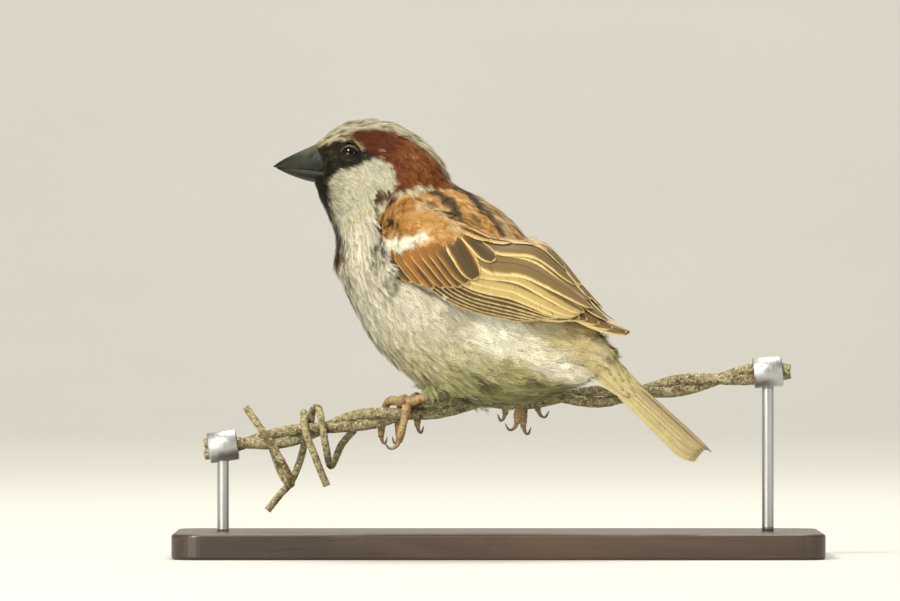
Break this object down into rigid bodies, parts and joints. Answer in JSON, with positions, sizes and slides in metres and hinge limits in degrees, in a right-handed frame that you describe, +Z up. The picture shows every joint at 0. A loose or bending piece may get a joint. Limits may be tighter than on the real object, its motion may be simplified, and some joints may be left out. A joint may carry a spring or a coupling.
{
  "type": "perched male house sparrow model on a display stand",
  "caption": "Life-size male house sparrow model gripping a short cut length of barbed wire, held by two rods on a flat display base.",
  "frame": {"origin": "middle of the underside of the stand's base", "axes": "+X along the perch from the barbed end towards the tail end, -X the way that the bird faces, -Y the bird's left side, +Z up"},
  "size_m": [0.178, 0.07, 0.1204],
  "materials": {
    "head_feathers": "soft matte feathers, grey crown, chestnut side, black mask and bib, pale cheek",
    "body_feathers": "soft matte feathers, streaked brown above and greyish white below",
    "wing_feathers": "matte vaned feathers, dark centres and buff edges",
    "flight_feathers": "smooth vaned feathers, dark brown with pale edges",
    "bill_horn": "satin blackish grey horn",
    "eye": "wet gloss, very dark brown",
    "leg_scales": "pinkish brown scaled skin",
    "claw_horn": "satin dark horn",
    "weathered_wire": "weathered galvanised steel, dull with grime, lichen and rust",
    "stand_wood": "satin dark stained wood",
    "stand_steel": "fine brushed"
  },
  "bodies": {
    "root": {"head": "head_feathers", "neck": "body_feathers", "trunk": "body_feathers", "thigh_left": "body_feathers", "thigh_right": "body_feathers", "bill_upper": "bill_horn", "bill_lower": "bill_horn", "eye_left": "eye", "eye_right": "eye", "wing_left_coverts": "wing_feathers", "wing_right_coverts": "wing_feathers", "wing_left_secondaries": "wing_feathers", "wing_right_secondaries": "wing_feathers", "wing_left_primaries": "flight_feathers", "wing_right_primaries": "flight_feathers", "tail": "flight_feathers", "tarsus_left": "leg_scales", "tarsus_right": "leg_scales", "toe_left_outer": "leg_scales", "toe_left_middle": "leg_scales", "toe_left_inner": "leg_scales", "toe_left_hind": "leg_scales", "toe_right_outer": "leg_scales", "toe_right_middle": "leg_scales", "toe_right_inner": "leg_scales", "toe_right_hind": "leg_scales", "claw_left_outer": "claw_horn", "claw_left_middle": "claw_horn", "claw_left_inner": "claw_horn", "claw_left_hind": "claw_horn", "claw_right_outer": "claw_horn", "claw_right_middle": "claw_horn", "claw_right_inner": "claw_horn", "claw_right_hind": "claw_horn", "perch_strand_first": "weathered_wire", "perch_strand_second": "weathered_wire", "perch_barb_left": "weathered_wire", "perch_barb_middle": "weathered_wire", "perch_barb_right": "weathered_wire", "stand_base": "stand_wood", "stand_rod_left": "stand_steel", "stand_rod_right": "stand_steel"}
  },
  "joints": []
}
